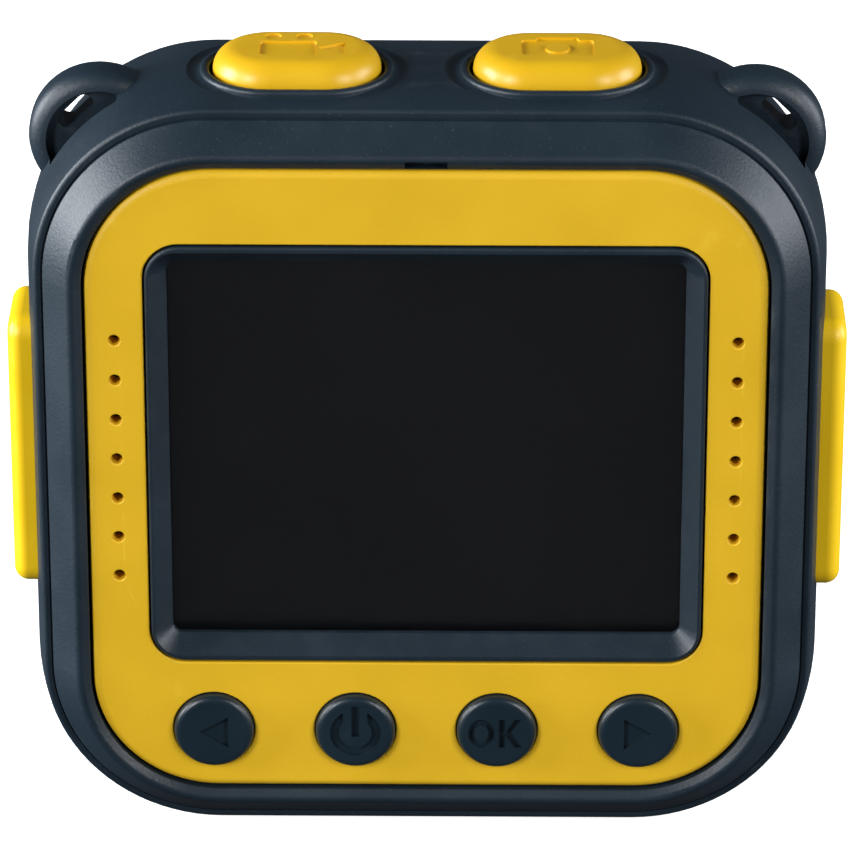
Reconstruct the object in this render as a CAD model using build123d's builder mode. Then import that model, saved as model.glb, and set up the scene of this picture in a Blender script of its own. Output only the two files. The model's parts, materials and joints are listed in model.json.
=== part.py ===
"""Kids digital camera: a small square body with a colour screen on the back.

The camera stands on its base (z = 0) with its screen facing -Y and its lens
facing +Y.  The origin is the middle of the box around it, at the base.
Depth is measured forwards (+Y) from the flat face of the bezel round the
screen, so the rim stands at negative depth and the lens at the greatest.
"""

import os
from build123d import *

os.makedirs("parts", exist_ok=True)

# %% Driving sizes, in millimetres
bezel_width = 47.0
bezel_height = 47.4
bezel_radius = 8.8
bezel_thick = 1.5
rim = 4.3  # bezel edge to the widest line of the body
base_flat = 0.25  # crown trimmed away so that the camera stands flat
wall = 1.6
body_depth = 17.5
crown_depth = 8.35  # depth of the widest line
rear_crown_radius = 27.0  # barrel curve of the side walls, towards the screen
front_crown_radius = 47.0
lens_proud = 2.9
key_proud = 0.6
gap = 0.1  # between neighbouring pieces of the assembly

bezel_y = -(key_proud + body_depth + lens_proud) / 2 + key_proud
mid_z = bezel_height / 2 + rim - base_flat
top_z = mid_z + bezel_height / 2 + rim

screen_z = 29.97  # height of the middle of the screen
lens_z = screen_z
key_z = 8.7
key_xs = (-15.0, -5.0, 5.0, 15.0)
shutter_xs = (-8.95, 8.95)

floor_top = bezel_thick + gap  # the bezel lies on this floor
floor_bottom = floor_top + 1.2
inner_front = body_depth - wall
board_depth = 9.8  # rear face of the main board
board_thick = 1.0
board_front = board_depth + board_thick
top_board_z = 48.8


def at_depth(depth):
    """Plane facing the rear; its own x and y are the camera's x and z."""
    return Plane.XZ.offset(-(bezel_y + depth))


def at_height(height):
    return Plane.XY.offset(height)


def y_of(depth):
    return bezel_y + depth


def finish(part, name):
    """Label a finished piece and write it."""
    part.label = name
    export_step(part, f"parts/{name}.step")


# The body's walls all follow the bezel's outline.  A profile is drawn as
# (distance outside the bezel's edge, depth) and swept once round it.
profile_plane = Plane(
    origin=(0, bezel_y, mid_z + bezel_height / 2), x_dir=(0, 0, 1), z_dir=(-1, 0, 0)
)
flat_x = bezel_width / 2 - bezel_radius
flat_z = bezel_height / 2 - bezel_radius
with BuildLine(at_depth(0)) as outline:
    Line((0, mid_z + bezel_height / 2), (-flat_x, mid_z + bezel_height / 2))
    CenterArc((-flat_x, mid_z + flat_z), bezel_radius, 90, 90)
    Line((-bezel_width / 2, mid_z + flat_z), (-bezel_width / 2, mid_z - flat_z))
    CenterArc((-flat_x, mid_z - flat_z), bezel_radius, 180, 90)
    Line((-flat_x, mid_z - bezel_height / 2), (flat_x, mid_z - bezel_height / 2))
    CenterArc((flat_x, mid_z - flat_z), bezel_radius, 270, 90)
    Line((bezel_width / 2, mid_z - flat_z), (bezel_width / 2, mid_z + flat_z))
    CenterArc((flat_x, mid_z + flat_z), bezel_radius, 0, 90)
    Line((flat_x, mid_z + bezel_height / 2), (0, mid_z + bezel_height / 2))


def crown_offset(depth):
    """How far the side wall stands outside the bezel's edge at a depth."""
    radius = rear_crown_radius if depth < crown_depth else front_crown_radius
    return rim - radius + (radius**2 - (depth - crown_depth) ** 2) ** 0.5


# %% Sizes shared by the shell and the pieces that go into it
crease_out = 3.05  # where the shell's shoulder starts, outside the bezel's edge
seam_depth = 2.1
inner_offset = rim - wall
edge_round = 4.0  # between the side walls and the lens wall
shoulder_round = 0.35

cap_length = 11.6
cap_width = 8.1
cap_radius = 3.95
cap_depth = 8.35
cap_proud = 1.5
cap_travel_gap = 0.25
lip_width = 0.9
lip_proud = 0.12
groove_out = 0.45  # the groove's line, outside the lip
groove_radius = 0.8

lug_x = 22.65
lug_z = 50.45
lug_radius = 4.95
lug_round = 1.3
lug_rear = 7.6
lug_front = 11.2
eyelet_x = 24.25
eyelet_z = 52.45
eyelet_length = 3.0
eyelet_width = 1.2
dish_radius = 3.7  # hollow in the lug and in the corner of the body beside it
dish_reach = 12.3  # from the centre of the body's corner to the floor of the hollow
dish_depth = 0.6
dish_rear = 0.9

door_height = 20.5
door_z = mid_z + 0.15
door_rear = 4.55
door_front = 11.9
door_side_gap = 0.15
door_front_gap = 0.25  # room for the door's edge as it swings
door_face = 29.25
door_inner = 27.0
pivot_x = 27.0
pivot_depth = 12.75
pin_radius = 0.4
knuckle_radius = 0.75
knuckle_half = 7.0
pin_half = 9.0
seal_rear = 6.4
seal_front = 11.0
seal_half = 6.9
seal_inner = 26.3

tripod_depth = 9.4
insert_radius = 3.8
insert_length = 5.2

shell_screws = ((-17.5, 48.6), (17.5, 48.6), (-20.3, 10.6), (20.3, 10.6))
board_screws_at = ((-22.0, 17.0), (22.0, 17.0), (-22.0, 42.5), (22.0, 42.5))
post_radius = 1.9
board_post_radius = 1.5
pilot_radius = 0.6
pilot_length = 7.0
usb_depth = 8.5
card_depth = 8.9
indicator_at = (17.5, 42.0)
microphone_at = (-17.5, 42.0)
lens_ring_radius = 13.1
barrel_radius = 3.4


def stadium_well(length, width, radius):
    """One rounded oblong for each top button, in an open sketch."""
    with Locations(*((x, y_of(cap_depth)) for x in shutter_xs)):
        RectangleRounded(length, width, radius)


# %% Front shell: a bucket that forms the side walls and the lens wall
with BuildSketch(at_height(top_z + 0.5)) as groove_line:
    stadium_well(
        cap_length + 2 * (lip_width + groove_out), cap_width + 2 * (lip_width + groove_out),
        cap_radius + lip_width + groove_out,
    )

with BuildPart() as front_shell:
    with BuildSketch(profile_plane) as shell_wall:
        with BuildLine():
            rear_edge = (crown_offset(seam_depth), seam_depth)
            front_edge = (crown_offset(body_depth), body_depth)
            for start, end in ((rear_edge, (rim, crown_depth)), ((rim, crown_depth), front_edge)):
                halfway = (start[1] + end[1]) / 2
                ThreePointArc(start, (crown_offset(halfway), halfway), end)
            Polyline(
                front_edge, (-3, body_depth), (-3, inner_front), (inner_offset, inner_front),
                (inner_offset, seam_depth + gap), (crease_out, seam_depth + gap),
                (crease_out, seam_depth), rear_edge,
            )
        make_face()
        fillet(shell_wall.vertices().group_by(Axis.Y)[-1].sort_by(Axis.X)[-1], radius=edge_round)
        fillet(shell_wall.vertices().group_by(Axis.Y)[0].sort_by(Axis.X)[-1], radius=shoulder_round)
    sweep(path=outline.wire())
    with BuildSketch(at_depth(body_depth)):
        with Locations((0, mid_z)):
            RectangleRounded(bezel_width - 2, bezel_height - 2, bezel_radius - 1)
    extrude(amount=wall)

    # Lanyard lugs, discs with rounded rims, at the two top corners
    for side in (-1, 1):
        lug_plane = Plane(origin=(side * lug_x, bezel_y, lug_z))
        with BuildSketch(lug_plane) as lug_section:
            with Locations((lug_radius / 2, (lug_rear + lug_front) / 2)):
                Rectangle(lug_radius, lug_front - lug_rear)
            fillet(lug_section.vertices().group_by(Axis.X)[-1], radius=lug_round)
        revolve(axis=Axis(lug_plane.origin, (0, 1, 0)))

    # Pads that thicken the side walls behind the doors
    with Locations(*((side * 25.9, y_of(9.65), mid_z) for side in (-1, 1))):
        Box(2.0, 8.5, 22.6)

    # Posts for the housing screws, the main board and the tripod insert
    with BuildSketch(at_depth(inner_front)):
        with Locations(*shell_screws):
            Circle(post_radius)
    extrude(amount=inner_front - floor_bottom - gap)
    with BuildSketch(at_depth(inner_front)):
        with Locations(*board_screws_at):
            Circle(board_post_radius)
    extrude(amount=inner_front - board_front)
    with BuildSketch(at_height(0.9)):
        with Locations((0, y_of(tripod_depth))):
            Circle(insert_radius + 1.1)
    extrude(amount=insert_length)
    with BuildSketch(at_height(top_z - 1)):
        with Locations((0, y_of(cap_depth))):
            Circle(1.6)
    extrude(amount=-(top_z - 1 - top_board_z - board_thick))
    with BuildSketch(at_depth(inner_front)):
        with Locations(microphone_at):
            Circle(2.8)
    extrude(amount=1.6)

    # The base is trimmed flat
    split(bisect_by=Plane.XY, keep=Keep.TOP)

    # Top button wells: a soft groove, a raised lip, then the opening
    for well in groove_line.sketch.faces():
        groove_path = well.outer_wire()
        with BuildSketch(Plane(origin=groove_path @ 0, z_dir=groove_path % 0)):
            Circle(groove_radius)
        sweep(path=groove_path, mode=Mode.SUBTRACT)
    with BuildSketch(at_height(top_z - 0.8)):
        stadium_well(cap_length + 2 * lip_width, cap_width + 2 * lip_width, cap_radius + lip_width)
    extrude(amount=0.8 + lip_proud)
    with BuildSketch(at_height(top_z + 1)):
        stadium_well(
            cap_length + 2 * cap_travel_gap, cap_width + 2 * cap_travel_gap,
            cap_radius + cap_travel_gap,
        )
    extrude(amount=-(wall + 1.4), mode=Mode.SUBTRACT)
    fillet(front_shell.edges().group_by(Axis.Z)[-1], radius=0.28)

    # Door recesses, seal pockets, hinge grooves and pin holes
    for side in (-1, 1):
        with BuildSketch(Plane.YZ.offset(side * (door_inner - 0.05))):
            recess_rear = y_of(door_rear - door_side_gap)
            recess_front = y_of(door_front + door_front_gap)
            with Locations(((recess_rear + recess_front) / 2, door_z)):
                RectangleRounded(
                    recess_front - recess_rear, door_height + 2 * door_side_gap, 1.5
                )
        extrude(amount=side * 3, mode=Mode.SUBTRACT)
        with BuildSketch(Plane.YZ.offset(side * (seal_inner - 0.1))):
            with Locations((y_of((seal_rear + seal_front) / 2), door_z)):
                RectangleRounded(seal_front - seal_rear + 0.4, 2 * seal_half + 0.4, 1.0)
        extrude(amount=side * 1, mode=Mode.SUBTRACT)
        with Locations((side * pivot_x, y_of(pivot_depth), mid_z)):
            Cylinder(pin_radius, 2 * pin_half, mode=Mode.SUBTRACT)
            Cylinder(knuckle_radius + 0.15, 2 * knuckle_half + 0.4, mode=Mode.SUBTRACT)
        with Locations((side * (pivot_x + 1), y_of(pivot_depth), mid_z)):
            Box(2, 2 * knuckle_radius + 0.3, 2 * knuckle_half + 0.4, mode=Mode.SUBTRACT)
    # Charging port on the left, card slot on the right
    with BuildSketch(Plane.YZ.offset(-24)):
        with Locations((y_of(usb_depth), mid_z)):
            RectangleRounded(3.4, 8.6, 0.8)
    extrude(amount=-2.5, mode=Mode.SUBTRACT)
    with BuildSketch(Plane.YZ.offset(24)):
        with Locations((y_of(card_depth), mid_z)):
            RectangleRounded(2.2, 12.4, 0.5)
    extrude(amount=2.5, mode=Mode.SUBTRACT)

    # Lens opening with a seat for the trim ring, then the small holes
    with BuildSketch(at_depth(body_depth)):
        with Locations((0, lens_z)):
            Circle(lens_ring_radius + gap)
    extrude(amount=0.8, mode=Mode.SUBTRACT)
    with BuildSketch(at_depth(body_depth)):
        with Locations((0, lens_z)):
            Circle(5.0)
    extrude(amount=wall, mode=Mode.SUBTRACT)
    with BuildSketch(at_depth(body_depth)):
        with Locations(indicator_at):
            Circle(1.05)
        with Locations(microphone_at):
            Circle(0.5)
    extrude(amount=wall, mode=Mode.SUBTRACT)
    with BuildSketch(at_depth(inner_front)):
        with Locations(microphone_at):
            Circle(2.1)
    extrude(amount=1.6, mode=Mode.SUBTRACT)

    # Pilot holes and the seat of the tripod insert
    with BuildSketch(at_depth(floor_bottom + gap)):
        with Locations(*shell_screws):
            Circle(pilot_radius)
    extrude(amount=-pilot_length, mode=Mode.SUBTRACT)
    with BuildSketch(at_depth(board_front)):
        with Locations(*board_screws_at):
            Circle(pilot_radius)
    extrude(amount=-3.6, mode=Mode.SUBTRACT)
    with BuildSketch(at_height(0)):
        with Locations((0, y_of(tripod_depth))):
            Circle(insert_radius)
    extrude(amount=insert_length, mode=Mode.SUBTRACT)
    with BuildSketch(at_height(top_board_z + board_thick)):
        with Locations((0, y_of(cap_depth))):
            Circle(pilot_radius)
    extrude(amount=3, mode=Mode.SUBTRACT)

    # Each lug is dished where it meets the corner, and has a slanted eyelet for the cord
    for side in (-1, 1):
        with BuildSketch(at_depth(lug_rear + dish_depth)):
            with Locations((side * lug_x, lug_z)):
                Circle(dish_radius)
            with Locations((side * flat_x, mid_z + flat_z)):
                Circle(dish_reach, mode=Mode.SUBTRACT)
        extrude(amount=dish_depth + dish_rear, mode=Mode.SUBTRACT)
        with BuildSketch(at_depth(lug_front + 0.2)):
            with Locations(Location((side * eyelet_x, eyelet_z), side * -45)):
                SlotOverall(eyelet_length, eyelet_width)
        extrude(amount=lug_front - lug_rear + 0.4, mode=Mode.SUBTRACT)
    dish_edges = front_shell.edges().filter_by_position(
        Axis.Y, y_of(lug_rear - dish_rear) - 0.01, y_of(lug_rear - dish_rear) + 0.01
    )
    fillet(dish_edges, radius=0.25)
finish(front_shell.part, "front_shell")

# %% Rear housing: the rim, the floor under the bezel and the screen surround
surround_width = 38.6
surround_height = 31.7
surround_radius = 2.4
aperture_width = 35.7
aperture_height = 28.5
bevel_bottom = 1.25
bevel_top = -0.1
window_seat = 1.65
window_front = 2.45
window_width = 37.4
window_height = 30.2
key_radius = 2.82
key_gap = 0.06
key_flange_radius = 3.4
hole_x = 21.45
hole_pitch = 3.0
hole_z = 29.78
bezel_pins_at = ((-21.3, 42.8), (21.3, 42.8), (-21.6, 15.8), (21.6, 15.8))
bezel_pin_radius = 0.8
rim_inside = 0.15  # outside the bezel's edge
rim_crest = (0.95, -0.5)
rim_outside = (2.9, 1.9)
lip_inside = 1.4  # the rear lip goes inside the shell
lip_outside = 2.55
lip_end = 3.5


def key_places(radius):
    """A circle at each of the four keys, in an open sketch."""
    with Locations(*((x, key_z) for x in key_xs)):
        Circle(radius)


def sound_holes(radius):
    """Two upright rows of seven circles, in an open sketch."""
    for x in (-hole_x, hole_x):
        with Locations((x, hole_z)):
            with GridLocations(hole_pitch, hole_pitch, 1, 7):
                Circle(radius)


with BuildPart() as rear_housing:
    with BuildSketch(profile_plane) as rim_wall:
        with BuildLine():
            Polyline(
                (rim_inside, floor_top), (rim_inside, 0), rim_crest, rim_outside,
                (rim_outside[0], seam_depth), (lip_outside, seam_depth), (lip_outside, lip_end),
                (lip_inside, lip_end), (lip_inside, floor_bottom), (-2, floor_bottom),
                (-2, floor_top), (rim_inside, floor_top),
            )
        make_face()
        fillet(rim_wall.vertices().sort_by(Axis.Y)[1], radius=0.15)
        fillet(rim_wall.vertices().sort_by(Axis.Y)[0], radius=0.5)
    sweep(path=outline.wire())
    with BuildSketch(at_depth(floor_bottom)):
        with Locations((0, mid_z)):
            RectangleRounded(bezel_width - 2, bezel_height - 2, bezel_radius - 1)
    extrude(amount=floor_bottom - floor_top)
    with BuildSketch(at_depth(floor_bottom)):
        with Locations((0, screen_z)):
            RectangleRounded(surround_width, surround_height, surround_radius)
    extrude(amount=floor_bottom - bevel_top)
    fillet(
        [e for e in rear_housing.edges().filter_by_position(
            Axis.Y, y_of(bevel_top) - 0.01, y_of(bevel_top) + 0.01)],
        radius=0.22,
    )
    with BuildSketch(at_depth(bevel_bottom)):
        with Locations((0, screen_z)):
            RectangleRounded(aperture_width, aperture_height, 0.7)
    extrude(amount=bevel_bottom - bevel_top + 0.1, taper=-41, mode=Mode.SUBTRACT)
    with BuildSketch(at_depth(floor_bottom)):
        with Locations((0, screen_z)):
            RectangleRounded(aperture_width, aperture_height, 0.7)
    extrude(amount=floor_bottom - bevel_bottom, mode=Mode.SUBTRACT)
    with BuildSketch(at_depth(floor_bottom)):
        with Locations((0, screen_z)):
            RectangleRounded(window_width + gap, window_height + gap, 0.5)
    extrude(amount=floor_bottom - window_seat, mode=Mode.SUBTRACT)
    with BuildSketch(at_depth(floor_bottom)):
        key_places(key_flange_radius + 0.3)
        sound_holes(0.5)
        with Locations(*bezel_pins_at):
            Circle(bezel_pin_radius)
        with Locations(*shell_screws):
            Circle(0.85)
    extrude(amount=floor_bottom - floor_top, mode=Mode.SUBTRACT)
    with BuildSketch(at_depth(floor_top + 0.75)):
        with Locations(*shell_screws):
            Circle(1.6)
    extrude(amount=0.75, mode=Mode.SUBTRACT)
    # A small notch in the rim, for lifting the bezel out
    with Locations((0, bezel_y, mid_z + bezel_height / 2 + 0.5)):
        Box(2.9, 1.6, 0.6, mode=Mode.SUBTRACT)
finish(rear_housing.part, "rear_housing")

# %% Bezel: the yellow plate round the screen, held by four pins
with BuildPart() as bezel:
    with BuildSketch(at_depth(bezel_thick)):
        with Locations((0, mid_z)):
            RectangleRounded(bezel_width, bezel_height, bezel_radius)
    extrude(amount=bezel_thick)
    fillet(bezel.edges().group_by(Axis.Y)[0], radius=0.6)
    with BuildSketch(at_depth(bezel_thick)):
        with Locations((0, screen_z)):
            RectangleRounded(surround_width + 0.3, surround_height + 0.3, surround_radius + 0.15)
        key_places(key_radius + key_gap)
        sound_holes(0.4)
    extrude(amount=bezel_thick, mode=Mode.SUBTRACT)
    fillet(
        [e for e in bezel.edges().filter_by_position(Axis.Y, bezel_y - 0.01, bezel_y + 0.01)
         if e.length < 150],
        radius=0.12,
    )
    with BuildSketch(at_depth(bezel_thick)):
        with Locations(*bezel_pins_at):
            Circle(bezel_pin_radius)
    extrude(amount=-(floor_bottom - bezel_thick))
finish(bezel.part, "bezel")

# %% Screen: a clear window over the panel, its backlight frame and its flat cable
panel_depth = floor_bottom + gap
panel_front = 3.95
panel_size = (38.0, 30.6)
frame_width = 41.6
frame_height = 33.0
frame_bottom = 4.9


def plate(name, centre, size, rear, front, radius=0.5):
    """A rounded plate that stands across the camera between two depths."""
    with BuildPart() as piece:
        with BuildSketch(at_depth(front)):
            with Locations(centre):
                RectangleRounded(*size, radius)
        extrude(amount=front - rear)
    finish(piece.part, name)
    return piece.part


plate("screen_window", (0, screen_z), (window_width, window_height), window_seat, window_front)
plate("lcd_panel", (0, screen_z), panel_size, panel_depth, panel_front)

with BuildPart() as lcd_frame:
    with BuildSketch(at_depth(frame_bottom)):
        with Locations((0, screen_z)):
            RectangleRounded(frame_width, frame_height, 0.8)
    extrude(amount=frame_bottom - panel_depth)
    with BuildSketch(at_depth(panel_front)):
        with Locations((0, screen_z)):
            RectangleRounded(*panel_size, 0.5)
    extrude(amount=2, mode=Mode.SUBTRACT)
finish(lcd_frame.part, "lcd_frame")

# The flat cable leaves the frame's right end and folds round to the main board
ribbon_plane = Plane.XY.offset(35.2)
with BuildPart() as lcd_ribbon:
    with BuildSketch(ribbon_plane):
        with BuildLine() as ribbon_line:
            FilletPolyline(
                (18.0, y_of(5.05)), (22.6, y_of(5.05)), (22.6, y_of(9.55)), (19.0, y_of(9.55)),
                radius=0.8,
            )
        trace(line_width=0.12)
    extrude(amount=5.4)
finish(lcd_ribbon.part, "lcd_ribbon")

# %% The four keys under the screen, each with its switch
key_names = ("left_key", "power_key", "ok_key", "right_key")
mark_depth = 0.3
key_board_depth = 5.6
key_board_front = 6.4
key_stem_front = 3.6
key_stem_radius = 1.3
key_round = 0.5
plunger_radius = 0.9
plunger_front = 4.7


def arrow_mark(direction):
    """A solid triangle that points left (-1) or right (1)."""
    Polygon((direction * 1.1, 0), (direction * -1.0, 1.2), (direction * -1.0, -1.2), align=None)


def power_mark():
    """A ring open at the top with a bar standing in the opening."""
    Circle(1.8)
    Circle(1.15, mode=Mode.SUBTRACT)
    with Locations((0, 1.2)):
        Rectangle(1.7, 1.6, mode=Mode.SUBTRACT)
    with Locations((0, 0.9)):
        Rectangle(0.55, 2.4)


def ok_mark():
    """The letters O and K in an even stroke."""
    stroke = 0.45
    with Locations((-1.08, 0)):
        Ellipse(0.95, 1.12)
        Ellipse(0.95 - stroke, 1.12 - stroke, mode=Mode.SUBTRACT)
    with Locations((0.37, 0)):
        Rectangle(stroke, 2.24)
    Polygon(
        (0.52, -0.05), (1.24, 1.12), (1.77, 1.12), (1.02, 0.1), (1.82, -1.12), (1.29, -1.12),
        align=None,
    )


def make_key(name, x, mark):
    with BuildPart() as key:
        with BuildSketch(at_depth(floor_top)):
            with Locations((x, key_z)):
                Circle(key_radius)
        extrude(amount=floor_top + key_proud)
        fillet(key.edges().group_by(Axis.Y)[0], radius=key_round)
        with BuildSketch(at_depth(floor_top + 0.6)):
            with Locations((x, key_z)):
                Circle(key_flange_radius)
        extrude(amount=0.6)
        with BuildSketch(at_depth(key_stem_front)):
            with Locations((x, key_z)):
                Circle(key_stem_radius)
        extrude(amount=key_stem_front - floor_top)
        key_face = Plane(origin=(x, y_of(-key_proud), key_z), x_dir=(1, 0, 0), z_dir=(0, -1, 0))
        with BuildSketch(key_face):
            mark()
        extrude(amount=-mark_depth, mode=Mode.SUBTRACT)
    finish(key.part, name)
    with BuildPart() as plunger:
        with BuildSketch(at_depth(plunger_front)):
            with Locations((x, key_z)):
                Circle(plunger_radius)
        extrude(amount=plunger_front - key_stem_front)
    finish(plunger.part, name.replace("key", "plunger"))


key_marks = (lambda: arrow_mark(-1), power_mark, ok_mark, lambda: arrow_mark(1))
for key_name, key_x, key_mark in zip(key_names, key_xs, key_marks):
    make_key(key_name, key_x, key_mark)

with BuildPart() as key_switches:
    with BuildSketch(at_depth(key_board_depth)):
        with Locations(*((x, key_z) for x in key_xs)):
            RectangleRounded(4.2, 4.2, 0.4)
    extrude(amount=1.4)
    with BuildSketch(at_depth(key_board_depth - 0.2)):
        key_places(1.0)
    extrude(amount=2, mode=Mode.SUBTRACT)
finish(key_switches.part, "key_switches")
plate("key_board", (0, key_z + 0.4), (36.0, 5.4), key_board_depth, key_board_front)

# %% Top buttons: video on the left, photo on the right
cap_top = top_z + cap_proud
flange_top = top_z - rim + inner_offset - gap
flange_bottom = flange_top - 0.8
flange_size = (13.0, 9.0)
cap_round = 1.6
cap_mark_depth = 0.18
stem_radius = 1.5
stem_bottom = 52.05
cap_plunger_bottom = 51.0


def video_mark():
    """A film camera seen from the side, with two reels."""
    with Locations((-0.6, -0.25)):
        RectangleRounded(3.9, 2.6, 0.3)
    Polygon((1.45, -0.15), (3.3, 0.8), (3.3, -1.3), (1.45, -0.35), align=None)
    with Locations((-1.7, 1.9), (0.45, 1.9)):
        Circle(0.6)


def photo_mark():
    """A stills camera with a round lens left standing."""
    RectangleRounded(5.0, 2.8, 0.35)
    Polygon((-1.6, 1.3), (-1.3, 1.85), (1.3, 1.85), (1.6, 1.3), align=None)
    Circle(0.85, mode=Mode.SUBTRACT)


def make_cap(name, x, mark):
    def centred(height):
        return Plane((x, y_of(cap_depth), height))

    with BuildPart() as cap:
        with BuildSketch(centred(flange_bottom)):
            RectangleRounded(cap_length, cap_width, cap_radius)
        extrude(amount=cap_top - flange_bottom)
        fillet(cap.edges().group_by(Axis.Z)[-1], radius=cap_round)
        with BuildSketch(centred(flange_bottom)):
            RectangleRounded(*flange_size, 4.4)
        extrude(amount=flange_top - flange_bottom)
        with BuildSketch(centred(stem_bottom)):
            Circle(stem_radius)
        extrude(amount=flange_bottom - stem_bottom)
        with BuildSketch(centred(cap_top - cap_mark_depth)):
            mark()
        extrude(amount=1, mode=Mode.SUBTRACT)
    finish(cap.part, name)
    with BuildPart() as plunger:
        with Locations((x, y_of(cap_depth), (stem_bottom + cap_plunger_bottom) / 2)):
            Cylinder(plunger_radius, stem_bottom - cap_plunger_bottom)
    finish(plunger.part, name.replace("button", "plunger"))


for cap_name, cap_x, cap_mark in zip(("video_button", "photo_button"), shutter_xs,
                                     (video_mark, photo_mark)):
    make_cap(cap_name, cap_x, cap_mark)

switch_size = 4.5
switch_top = 51.35
switch_bottom = top_board_z + board_thick
with BuildPart() as top_switches:
    with Locations(*((x, y_of(cap_depth), 0) for x in shutter_xs)):
        with Locations((0, 0, (switch_bottom + switch_top) / 2)):
            Box(switch_size, switch_size, switch_top - switch_bottom)
        with Locations((0, 0, cap_plunger_bottom)):
            Cylinder(plunger_radius + 0.1, 2.0, mode=Mode.SUBTRACT)
finish(top_switches.part, "top_switches")

with BuildPart() as top_board:
    with BuildSketch(at_height(top_board_z)):
        with Locations((0, y_of(cap_depth))):
            RectangleRounded(29.0, 8.0, 0.8)
            Circle(pilot_radius + 0.1, mode=Mode.SUBTRACT)
    extrude(amount=board_thick)
finish(top_board.part, "top_board")

# %% Side doors: each swings on an upright pin at its front edge
with BuildPart() as right_door:
    with BuildSketch(Plane.YZ.offset(door_inner)):
        with Locations((y_of((door_rear + door_front) / 2), door_z)):
            RectangleRounded(door_front - door_rear, door_height, 1.4)
    extrude(amount=door_face - door_inner)
    fillet(right_door.edges().group_by(Axis.X)[-1], radius=1.0)
    hinge_side = right_door.edges().filter_by(Axis.Z).group_by(Axis.X)[0]
    chamfer(hinge_side.sort_by(Axis.Y)[-1], length=0.4)
    with Locations((pivot_x, y_of(pivot_depth), mid_z)):
        Cylinder(knuckle_radius, 2 * knuckle_half)
    web_rear = door_front - 0.5
    with Locations((pivot_x + knuckle_radius / 2, y_of((web_rear + pivot_depth) / 2), mid_z)):
        Box(knuckle_radius, pivot_depth - web_rear, 2 * knuckle_half)
    with Locations((pivot_x, y_of(pivot_depth), mid_z)):
        Cylinder(pin_radius + 0.05, 2 * knuckle_half, mode=Mode.SUBTRACT)
with BuildPart() as right_seal:
    with BuildSketch(Plane.YZ.offset(seal_inner)):
        with Locations((y_of((seal_rear + seal_front) / 2), door_z)):
            RectangleRounded(seal_front - seal_rear, 2 * seal_half, 0.8)
    extrude(amount=door_inner - seal_inner)
    fillet(right_seal.edges().group_by(Axis.X)[0], radius=0.25)
with BuildPart() as right_pin:
    with Locations((pivot_x, y_of(pivot_depth), mid_z)):
        Cylinder(pin_radius, 2 * pin_half)
for part_name, right_piece in (("door", right_door), ("seal", right_seal), ("pin", right_pin)):
    finish(right_piece.part, f"right_{part_name}")
    finish(mirror(right_piece.part, about=Plane.YZ), f"left_{part_name}")

# %% Lens: trim ring, cone and glass outside; barrel and holder inside
lens_plane = Plane(origin=(0, bezel_y, lens_z), x_dir=(0, 1, 0), z_dir=(1, 0, 0))
lens_axis = Axis((0, 0, lens_z), (0, 1, 0))
ring_seat = body_depth - 0.8
ring_front = body_depth + lens_proud
ring_inner = 9.6


def turned(name, points, rounds=()):
    """A piece turned about the lens axis from (depth, radius) points."""
    with BuildPart() as piece:
        with BuildSketch(lens_plane) as section:
            with BuildLine():
                Polyline(*points, points[0])
            make_face()
            for near, radius in rounds:
                fillet(section.vertices().sort_by_distance(Vector(*near, 0))[0], radius=radius)
        revolve(axis=lens_axis)
    finish(piece.part, name)


turned(
    "lens_ring",
    [
        (ring_seat, ring_inner), (ring_seat, lens_ring_radius), (ring_front, lens_ring_radius),
        (ring_front, ring_inner),
    ],
    rounds=(((ring_front, lens_ring_radius), 1.6), ((ring_front, ring_inner), 0.5)),
)
turned(
    "lens_cone",
    [
        (ring_seat, 4.9), (ring_seat, ring_inner - 0.05), (19.9, ring_inner - 0.05), (19.9, 9.1),
        (19.0, 9.1), (19.0, 8.2), (17.1, 4.9),
    ],
)
turned("front_glass", [(19.05, 0), (19.05, 9.0), (19.75, 9.0), (19.75, 0)])
turned(
    "lens_barrel",
    [
        (12.5, 1.9), (12.5, barrel_radius), (17.4, barrel_radius), (17.4, 2.9), (16.0, 2.9),
        (16.0, 2.2), (13.0, 2.2), (13.0, 1.9),
    ],
)
turned("front_lens", [(16.05, 0), (16.05, 2.85), (16.9, 2.85), (17.3, 1.6), (17.4, 0)])
turned("rear_lens", [(13.05, 0), (13.05, 2.15), (14.2, 2.15), (14.5, 0)])

holder_front = 14.6
with BuildPart() as lens_holder:
    with BuildSketch(at_depth(holder_front)):
        with Locations((0, lens_z)):
            RectangleRounded(8.8, 8.8, 0.5)
    extrude(amount=holder_front - board_front)
    with BuildSketch(at_depth(12.2)):
        with Locations((0, lens_z)):
            Rectangle(6.2, 6.2)
    extrude(amount=12.2 - board_front, mode=Mode.SUBTRACT)
    with BuildSketch(at_depth(holder_front)):
        with Locations((0, lens_z)):
            Circle(barrel_radius)
    extrude(amount=holder_front - 12.45, mode=Mode.SUBTRACT)
    with BuildSketch(at_depth(12.5)):
        with Locations((0, lens_z)):
            Circle(2.2)
    extrude(amount=0.5, mode=Mode.SUBTRACT)
finish(lens_holder.part, "lens_holder")
plate("infrared_filter", (0, lens_z), (5.8, 5.8), 11.85, 12.15, radius=0.2)
plate("image_sensor", (0, lens_z), (5.6, 5.6), board_front, 11.6, radius=0.2)

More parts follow.
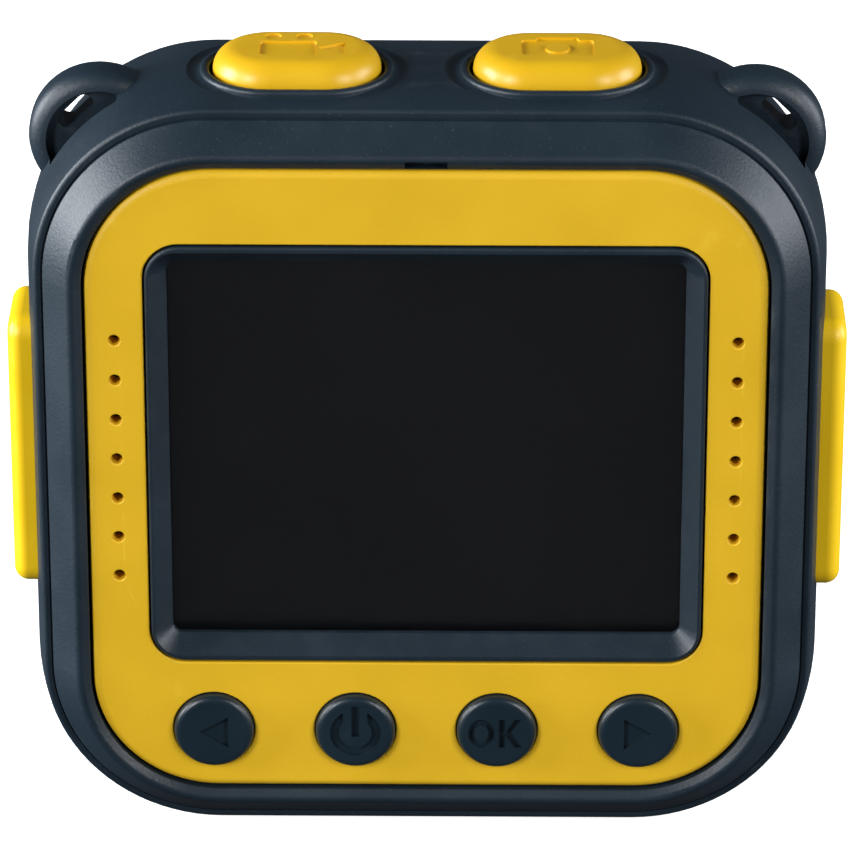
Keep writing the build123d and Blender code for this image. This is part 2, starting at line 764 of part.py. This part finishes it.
# %% Main board and what is soldered to it
with BuildPart() as main_board:
    with BuildSketch(at_depth(board_front)):
        with Locations((0, 29.75)):
            RectangleRounded(49.0, 30.5, 1.0)
        with Locations(*board_screws_at):
            Circle(0.75, mode=Mode.SUBTRACT)
    extrude(amount=board_front - board_depth)
finish(main_board.part, "main_board")
plate("processor", (-11.5, 24.0), (7.0, 7.0), board_front, 11.7, radius=0.2)
plate("memory_chip", (-11.5, 34.0), (6.0, 8.0), board_front, 11.6, radius=0.2)
with BuildPart() as board_parts:
    with BuildSketch(at_depth(board_front + 0.6)):
        with Locations((11.5, 30.0)):
            with GridLocations(2.4, 1.8, 4, 6):
                Rectangle(1.2, 0.7)
    extrude(amount=0.6)
finish(board_parts.part, "board_parts")
plate("status_led", indicator_at, (1.6, 1.2), board_front, 11.5, radius=0.1)

with BuildPart() as usb_socket:
    with BuildSketch(Plane.YZ.offset(-26.0)):
        with Locations((y_of(usb_depth), mid_z)):
            RectangleRounded(2.5, 7.5, 0.6)
    extrude(amount=5.4)
    with BuildSketch(Plane.YZ.offset(-26.0)):
        with Locations((y_of(usb_depth), mid_z)):
            RectangleRounded(1.9, 6.9, 0.4)
            Rectangle(0.6, 4.0, mode=Mode.SUBTRACT)
    extrude(amount=4.6, mode=Mode.SUBTRACT)
finish(usb_socket.part, "usb_socket")

with BuildPart() as card_socket:
    with BuildSketch(Plane.YZ.offset(24.7)):
        with Locations((y_of(card_depth), mid_z)):
            RectangleRounded(1.75, 14.2, 0.2)
    extrude(amount=-14.0)
    with BuildSketch(Plane.YZ.offset(24.7)):
        with Locations((y_of(card_depth), mid_z)):
            Rectangle(1.0, 11.2)
    extrude(amount=-13.0, mode=Mode.SUBTRACT)
finish(card_socket.part, "card_socket")

# %% Battery, sound and the rest
plate("battery", (-1.0, 29.8), (34.0, 26.0), 5.15, 7.85, radius=1.2)
with BuildPart() as battery_leads:
    for lead_z in (31.0, 32.4):
        with BuildLine() as lead_line:
            FilletPolyline(
                (-18.0, y_of(6.5), lead_z), (-19.5, y_of(6.5), lead_z), (-19.5, y_of(9.8), lead_z),
                radius=0.6,
            )
        with BuildSketch(Plane(origin=lead_line.wire() @ 0, z_dir=lead_line.wire() % 0)):
            Circle(0.4)
        sweep(path=lead_line.wire())
finish(battery_leads.part, "battery_leads")

speaker_at = (-22.9, hole_z)
speaker_size = (3.6, 20.0)
speaker_rear = 3.3
plate("speaker_gasket", speaker_at, speaker_size, panel_depth, speaker_rear, radius=0.6)
plate("speaker", speaker_at, speaker_size, speaker_rear, 5.1, radius=0.6)
with BuildPart() as microphone:
    with BuildSketch(at_depth(inner_front - 0.1)):
        with Locations(microphone_at):
            Circle(1.9)
    extrude(amount=1.4)
finish(microphone.part, "microphone")
with BuildPart() as indicator_lens:
    with BuildSketch(at_depth(body_depth + 0.1)):
        with Locations(indicator_at):
            Circle(1.0)
    extrude(amount=wall + 0.1)
    with BuildSketch(at_depth(inner_front)):
        with Locations(indicator_at):
            Circle(1.5)
    extrude(amount=3.4)
finish(indicator_lens.part, "indicator_lens")

with BuildPart() as tripod_insert:
    with BuildSketch(at_height(0.1)):
        with Locations((0, y_of(tripod_depth))):
            Circle(insert_radius)
            Circle(2.55, mode=Mode.SUBTRACT)
    extrude(amount=insert_length - 0.1)
finish(tripod_insert.part, "tripod_insert")

# %% Fasteners


def screws(name, places, head_rear, head_radius, head_height, length):
    """Cross-head screws driven from the rear, as one group."""
    with BuildPart() as group:
        with BuildSketch(at_depth(head_rear + head_height)):
            with Locations(*places):
                Circle(head_radius)
        extrude(amount=head_height)
        fillet(group.edges().group_by(Axis.Y)[0], radius=0.2)
        with BuildSketch(at_depth(head_rear + head_height + length)):
            with Locations(*places):
                Circle(pilot_radius)
        extrude(amount=length)
        with BuildSketch(at_depth(head_rear + 0.4)):
            with Locations(*places):
                Rectangle(1.5, 0.35)
                Rectangle(0.35, 1.5)
        extrude(amount=1, mode=Mode.SUBTRACT)
    finish(group.part, name)


screws("housing_screws", shell_screws, floor_top + 0.1, 1.45, 0.65, pilot_length)
screws("board_screws", board_screws_at, board_depth - 0.8, 1.3, 0.8, 4.2)
with BuildPart() as top_board_screw:
    with BuildSketch(at_height(top_board_z - 0.8)):
        with Locations((0, y_of(cap_depth))):
            Circle(1.3)
    extrude(amount=0.8)
    with BuildSketch(at_height(top_board_z)):
        with Locations((0, y_of(cap_depth))):
            Circle(pilot_radius)
    extrude(amount=3.8)
finish(top_board_screw.part, "top_board_screw")
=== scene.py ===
# %% [markdown]
# # A kids digital camera
# The camera's shape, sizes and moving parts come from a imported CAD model, loaded here as a
# frame that nothing may move. Every shape of this hard plastic object is in that model, so
# this script adds none: it gives every piece its finish and lights it on a pale table.

# %% Load the frame
import json
from math import cos, pi, radians, sin

import bmesh
import bpy
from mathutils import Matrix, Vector


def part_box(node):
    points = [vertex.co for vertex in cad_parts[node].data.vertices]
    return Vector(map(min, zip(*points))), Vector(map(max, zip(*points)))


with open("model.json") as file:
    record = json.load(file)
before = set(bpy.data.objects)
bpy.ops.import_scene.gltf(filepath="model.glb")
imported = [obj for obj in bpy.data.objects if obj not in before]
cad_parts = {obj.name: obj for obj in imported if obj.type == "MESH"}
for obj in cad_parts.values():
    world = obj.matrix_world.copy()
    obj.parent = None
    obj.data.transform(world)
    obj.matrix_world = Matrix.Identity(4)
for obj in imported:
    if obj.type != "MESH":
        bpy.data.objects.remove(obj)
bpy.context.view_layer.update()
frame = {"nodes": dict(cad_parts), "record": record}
MM = 0.001

# %% [markdown]
# ## The view
# A long lens standing far off keeps the perspective flat, so the opposite sides of the bezel
# stay nearly parallel. The view is from the screen side, 25 degrees above the bezel and a
# hair to the right of it.

# %% Camera
bezel_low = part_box("bezel")[0]
aim_side = -0.07 * MM
aim_height = 28.45 * MM  # above the lower edge of the bezel
elevation = radians(25)
turn = radians(0.6)
distance = 408 * MM
focal_length = 250  # of a lens on a sensor 36 mm wide
aim = Vector((aim_side, bezel_low.y, bezel_low.z + aim_height))

lens = bpy.data.cameras.new("product_lens")
lens.lens = focal_length
lens.sensor_width = 36
lens.clip_start = 0.01
viewer = bpy.data.objects.new("product_camera", lens)
away = Vector((sin(turn) * cos(elevation), -cos(turn) * cos(elevation), sin(elevation)))
viewer.location = aim + distance * away
viewer.rotation_euler = (pi / 2 - elevation, 0, turn)
bpy.context.collection.objects.link(viewer)
bpy.context.scene.camera = viewer
bpy.context.scene.view_settings.view_transform = "Standard"
print("camera at", [round(v, 3) for v in viewer.location])

# %% [markdown]
# ## Shader helpers
# A finish is written as arithmetic. `Wire` stands for one output of a node, and adding or
# multiplying it adds the Math node that does so. `Finish` holds one material and makes every
# other kind of node in one way: type, settings, then the sockets.

# %% Helpers for finishes
class Wire:
    """One output of a node, that can be used in arithmetic."""

    def __init__(self, finish, socket):
        self.finish = finish
        self.socket = socket

    def maths(self, operation, first, second):
        return self.finish.node("ShaderNodeMath", {"operation": operation}, {0: first, 1: second})

    def __add__(self, other):
        return self.maths("ADD", self, other)

    def __mul__(self, other):
        return self.maths("MULTIPLY", self, other)


class Finish:
    """A material built round one Principled shader."""

    def __init__(self, name):
        self.material = bpy.data.materials.new(name)
        self.material.use_nodes = True
        self.tree = self.material.node_tree
        self.shader = self.tree.nodes["Principled BSDF"]

    def put(self, socket, value):
        if isinstance(value, Wire):
            self.tree.links.new(value.socket, socket)
        else:
            socket.default_value = value

    def node(self, kind, settings=None, sockets=None, output=0):
        made = self.tree.nodes.new(kind)
        for name, value in (settings or {}).items():
            setattr(made, name, value)
        for name, value in (sockets or {}).items():
            self.put(made.inputs[name], value)
        return Wire(self, made.outputs[output])

    def set(self, **sockets):
        for name, value in sockets.items():
            self.put(self.shader.inputs[name.replace("_", " ")], value)
        return self.material

    def place(self):
        return self.node("ShaderNodeTexCoord", output="Object")

    def noise(self, size_mm, detail=2.0, place=None):
        sockets = {"Scale": 1000 / size_mm, "Detail": detail, "Vector": place or self.place()}
        return self.node("ShaderNodeTexNoise", {}, sockets, "Fac")

    def blend(self, amount, low, high):
        return self.node(
            "ShaderNodeMix", {"data_type": "RGBA"}, {"Factor": amount, "A": low, "B": high}, "Result"
        )

    def stretch(self, value, low, high, to_low=0.0, to_high=1.0):
        sockets = {
            "Value": value, "From Min": low, "From Max": high, "To Min": to_low, "To Max": to_high
        }
        return self.node("ShaderNodeMapRange", {}, sockets)

    def bump(self, height, depth_mm):
        return self.node("ShaderNodeBump", {}, {"Height": height, "Distance": depth_mm * MM})


def shade(colour, factor):
    """The same colour, lighter or darker."""
    return tuple(min(1.0, c * factor) for c in colour[:3]) + (1.0,)


# %% [markdown]
# ## Moulded plastic
# The shell, bezel and keys come out of tools whose steel was spark-eroded, so the plastic
# carries a fine grain of rounded pits. Two noises make it: a small one for the pits and a
# broad one that lets the colour and the shine drift slightly, as they do on a real moulding.
# A third, thresholded, leaves the few pale specks where a pit catches the light. Raised
# edges are rubbed slightly paler in patches, where hands and pockets polish them.

# %% Moulded plastic
def moulded(name, colour, roughness, pit_mm, pit_depth_mm, drift=0.08, specks=0.0, wear=0.0):
    finish = Finish(name)
    place = finish.place()
    pits = finish.noise(pit_mm, 3.0, place)
    broad = finish.noise(6.0, 2.0, place)
    tone = finish.blend(
        finish.stretch(broad, 0.3, 0.7), shade(colour, 1 - drift), shade(colour, 1 + drift)
    )
    if wear:
        ridges = finish.stretch(
            finish.node("ShaderNodeNewGeometry", output="Pointiness"), 0.53, 0.62
        )
        rubbed = ridges * finish.stretch(finish.noise(1.5, 4.0, place), 0.45, 0.65)
        tone = finish.blend(rubbed * wear, tone, shade([c + 0.03 for c in colour], 1.5))
    if specks:
        bright = finish.stretch(finish.noise(pit_mm * 0.8, 1.0, place), 0.68, 0.76)
        tone = finish.blend(bright * specks, tone, shade([c + 0.1 for c in colour], 1.6))
    return finish.set(
        Base_Color=tone,
        Roughness=finish.stretch(broad + pits * 0.5, 0.4, 1.0, roughness - 0.05, roughness + 0.06),
        Normal=finish.bump(pits, pit_depth_mm),
    )


navy = (0.0075, 0.0175, 0.028)
shell_navy = moulded("grained_navy", navy, 0.44, 0.22, 0.020, specks=0.14, wear=0.35)
key_navy = moulded("satin_navy", (0.0075, 0.0185, 0.028), 0.33, 0.12, 0.004, wear=0.2)
bezel_yellow = moulded(
    "grained_yellow", (0.79, 0.475, 0.013), 0.48, 0.22, 0.018, drift=0.04, specks=0.08, wear=0.25
)
# Painted shade: the top buttons are the same yellow as the bezel, and their darker base colour
# stands in for the weaker light they get.
button_yellow = moulded(
    "satin_yellow_painted_shade", (0.70, 0.405, 0.008), 0.34, 0.14, 0.005, drift=0.04, wear=0.25
)
# Painted light: the side doors are the same yellow as the bezel, and their brighter base colour
# stands in for the side lamps falling on them. Their smoother shine is their own.
door_yellow = moulded(
    "smooth_yellow_painted_side_light", (0.98, 0.61, 0.006), 0.40, 0.16, 0.006, drift=0.04, wear=0.25
)
print("moulded plastics made")

# %% [markdown]
# ## Clear and dark pieces
# The window over the screen is polished acrylic. Behind it the panel is off: a near-black
# glass with only a faint bluish tone. The front lens is coated, which leaves a faint blue
# tint in what shows through it. A soft noise wipes each piece slightly duller in patches, as
# fingers do.

# %% Window, screen and lens glass
def clear(name, colour, roughness=0.03, haze_mm=8.0):
    finish = Finish(name)
    wipe = finish.noise(haze_mm, 4.0)
    return finish.set(
        Base_Color=colour,
        Roughness=finish.stretch(wipe, 0.35, 0.75, roughness, roughness + 0.05),
        Transmission_Weight=1.0,
        IOR=1.49,
    )


def dark_glass(name, colour, roughness=0.12):
    finish = Finish(name)
    wipe = finish.noise(5.0, 4.0)
    return finish.set(
        Base_Color=finish.blend(wipe, shade(colour, 0.9), shade(colour, 1.1)),
        Roughness=finish.stretch(wipe, 0.35, 0.75, roughness, roughness + 0.08),
    )


window_clear = clear("window_acrylic", (0.97, 0.97, 0.98, 1))
pipe_clear = clear("light_pipe_acrylic", (0.9, 0.93, 0.95, 1), 0.18, 2.0)
lens_clear = clear("coated_lens", (0.86, 0.90, 0.97, 1), 0.01)
filter_tint = clear("filter_tint", (0.45, 0.85, 0.90, 1), 0.02)
screen_black = dark_glass("screen_black", (0.002, 0.002, 0.0035), 0.35)
sensor_dark = dark_glass("sensor_silicon", (0.03, 0.02, 0.06), 0.1)
print("clear pieces made")

# %% [markdown]
# ## Metals, boards and the rest of the inside
# Most of these are hidden, but the camera comes apart on a bench, and each piece then shows
# its own finish. Plating has fine parallel marks, which a noise stretched along one axis
# gives without any real grooves. A board is green solder mask with paler lines where copper
# tracks lie under it, drawn here by a brick pattern's joints. The battery's foil is crinkled.

# %% Metals
def metal(name, colour, roughness, grain_mm=0.3, streak=12.0):
    finish = Finish(name)
    place = finish.node(
        "ShaderNodeMapping", {}, {"Vector": finish.place(), "Scale": (1.0, 1.0, streak)}
    )
    lines = finish.noise(grain_mm, 3.0, place)
    return finish.set(
        Base_Color=finish.blend(lines, shade(colour, 0.85), shade(colour, 1.1)),
        Metallic=1.0,
        Roughness=finish.stretch(lines, 0.3, 0.7, roughness - 0.06, roughness + 0.1),
        Normal=finish.bump(lines, 0.003),
    )


screw_steel = metal("zinc_screw", (0.62, 0.62, 0.64), 0.32)
plated_can = metal("plated_can", (0.72, 0.72, 0.73), 0.3, 0.5)
brass = metal("turned_brass", (0.80, 0.58, 0.25), 0.3, 0.25, 20.0)


# %% Boards, battery, rubber and leads
def solder_mask():
    finish = Finish("solder_mask_green")
    place = finish.place()
    tracks = finish.node(
        "ShaderNodeTexBrick", {},
        {"Vector": place, "Scale": 260.0, "Mortar Size": 0.06, "Color1": (0, 0, 0, 1),
         "Color2": (0.15, 0.15, 0.15, 1), "Mortar": (1, 1, 1, 1)}, "Fac",
    )
    return finish.set(
        Base_Color=finish.blend(tracks, (0.004, 0.075, 0.03, 1), (0.012, 0.15, 0.05, 1)),
        Roughness=finish.stretch(finish.noise(1.0), 0.3, 0.7, 0.25, 0.4),
        Normal=finish.bump(tracks, 0.02),
    )


def crinkled_foil():
    finish = Finish("pouch_foil")
    folds = finish.noise(3.0, 5.0)
    return finish.set(
        Base_Color=finish.blend(folds, (0.50, 0.50, 0.52, 1), (0.72, 0.72, 0.74, 1)),
        Metallic=0.9,
        Roughness=finish.stretch(folds, 0.3, 0.7, 0.28, 0.48),
        Normal=finish.bump(folds, 0.15),
    )


board_green = solder_mask()
foil = crinkled_foil()
black_plastic = moulded("moulded_black", (0.012, 0.012, 0.013), 0.45, 0.2, 0.006)
chip_black = moulded("chip_black", (0.016, 0.016, 0.017), 0.6, 0.08, 0.004)
white_plastic = moulded("moulded_white", (0.78, 0.78, 0.75), 0.4, 0.2, 0.004, drift=0.03)
black_rubber = moulded("soft_rubber", (0.018, 0.018, 0.019), 0.75, 0.12, 0.01)
lead_red = moulded("red_insulation", (0.45, 0.02, 0.02), 0.4, 0.2, 0.004)
amber_film = moulded("amber_film", (0.55, 0.24, 0.04), 0.25, 0.6, 0.004)
print("inside finishes made")

# %% [markdown]
# ## Give every CAD piece its finish
# Pieces made of one stuff share one finish, as they would come from one batch of plastic or
# one plating bath. The record names a material slot for each node, so one table from slot to
# finish dresses the whole camera.

# %% Dress the CAD pieces
finish_of_slot = {
    "shell_navy": shell_navy,
    "key_navy": key_navy,
    "bezel_yellow": bezel_yellow,
    "button_yellow": button_yellow,
    "door_yellow": door_yellow,
    "clear_window": window_clear,
    "lcd_black": screen_black,
    "white_plastic": white_plastic,
    "black_plastic": black_plastic,
    "switch_black": chip_black,
    "chip_black": chip_black,
    "circuit_board": board_green,
    "flex_film": amber_film,
    "sensor_glass": sensor_dark,
    "filter_glass": filter_tint,
    "lens_glass": lens_clear,
    "clear_plastic": pipe_clear,
    "metal_can": plated_can,
    "black_rubber": black_rubber,
    "battery_foil": foil,
    "lead_red": lead_red,
    "insert_brass": brass,
    "screw_steel": screw_steel,
}
for part in frame["record"]["subparts"]:
    node = frame["nodes"][part["node"]]
    node.data.materials.clear()
    node.data.materials.append(finish_of_slot[part["material_slot"]])
print("dressed", len(frame["nodes"]), "nodes")

# %% [markdown]
# ## Table and light
# A pale table carries on past the frame. It glows a little, so it stays white under the
# camera, and it is hidden from reflections, which keeps the unlit screen dark. A cool soft
# box stands level on each side and leaves the long highlight down that shoulder, stronger on
# the left. A larger white one on each side of the front lights the bezel and the keys.

# %% Table
table_reach = 0.9  # metres from the middle to each edge
table_drop = 0.0001  # keeps the table clear of the base
table = bmesh.new()
bmesh.ops.create_grid(table, x_segments=8, y_segments=8, size=table_reach)
table_mesh = bpy.data.meshes.new("table")
table.to_mesh(table_mesh)
table.free()
table_top = bpy.data.objects.new("table_top", table_mesh)
table_top.location = (0, 0, -table_drop)
bpy.context.collection.objects.link(table_top)
paper = Finish("white_paper")
paper_grain = paper.noise(1.2, 3.0)
paper.set(
    Base_Color=paper.blend(paper_grain, (0.86, 0.86, 0.86, 1), (0.90, 0.90, 0.90, 1)),
    Roughness=0.9,
    Emission_Color=(1, 1, 1, 1),
    Emission_Strength=0.8,
)
table_mesh.materials.append(paper.material)
table_top.visible_diffuse = False
table_top.visible_glossy = False
table_top.visible_transmission = False


# %% Lights
def soft_box(name, place, target, size, power, colour):
    light = bpy.data.lights.new(name, "AREA")
    light.color = colour
    light.shape = "RECTANGLE"
    light.size, light.size_y = size
    light.energy = power
    box = bpy.data.objects.new(name, light)
    box.location = place
    box.rotation_euler = (Vector(target) - Vector(place)).to_track_quat("-Z", "Y").to_euler()
    bpy.context.collection.objects.link(box)
    return box


middle = (0, 0, 0.03)  # of the camera, in metres like every place here
daylight = (0.90, 0.95, 1.0)
white = (1, 1, 1)
for side, sign, power in (("left", -1, 6.2), ("right", 1, 3.0)):
    place = (sign * 0.55, 0.0, 0.18)
    soft_box(side + "_side_box", place, (0, 0, 0.17), (0.3, 0.34), power, daylight)
for side, sign, power in (("left", -1, 5.2), ("right", 1, 3.9)):
    place = (sign * 0.58, -0.56, 0.36)
    soft_box(side + "_front_box", place, middle, (0.22, 0.42), power, white)

room = bpy.data.worlds.new("studio")
bpy.context.scene.world = room
room.use_nodes = True
background = room.node_tree.nodes["Background"].inputs
background["Color"].default_value = (0.75, 0.8, 0.9, 1)
background["Strength"].default_value = 0.08
print("lit")
